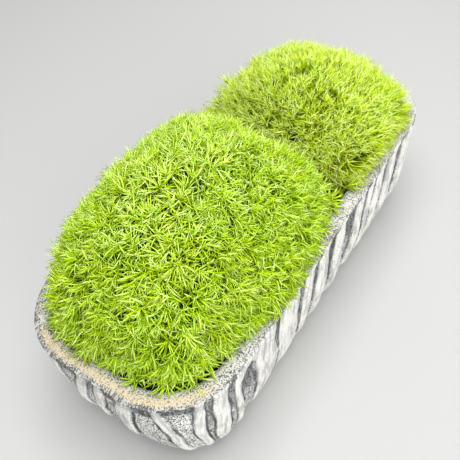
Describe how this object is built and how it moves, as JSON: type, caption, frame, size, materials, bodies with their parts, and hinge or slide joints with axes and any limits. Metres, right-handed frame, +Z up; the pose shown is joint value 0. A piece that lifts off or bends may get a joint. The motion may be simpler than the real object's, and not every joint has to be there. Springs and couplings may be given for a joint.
{
  "type": "preserved moss planter",
  "caption": "Oblong cast trough with a ridged, whitewashed wall, filled with two domed cushions of bright green moss that spill over its rim.",
  "frame": {"origin": "middle of the trough's flat underside", "axes": "+X along the trough, towards the lower moss cushion; +Y across it; +Z up"},
  "size_m": [0.24, 0.104, 0.1266],
  "materials": {
    "cast_cement": "whitewashed, grey speckled, matte",
    "dry_foam": "matte, open pored",
    "moss_bright": "soft, slightly waxy leaves",
    "moss_olive": "soft, slightly waxy leaves, yellowed tips"
  },
  "bodies": {
    "root": {"planter": "cast_cement", "foam_block": "dry_foam", "moss_mound_front": "moss_bright", "moss_mound_rear": "moss_olive"}
  },
  "joints": []
}
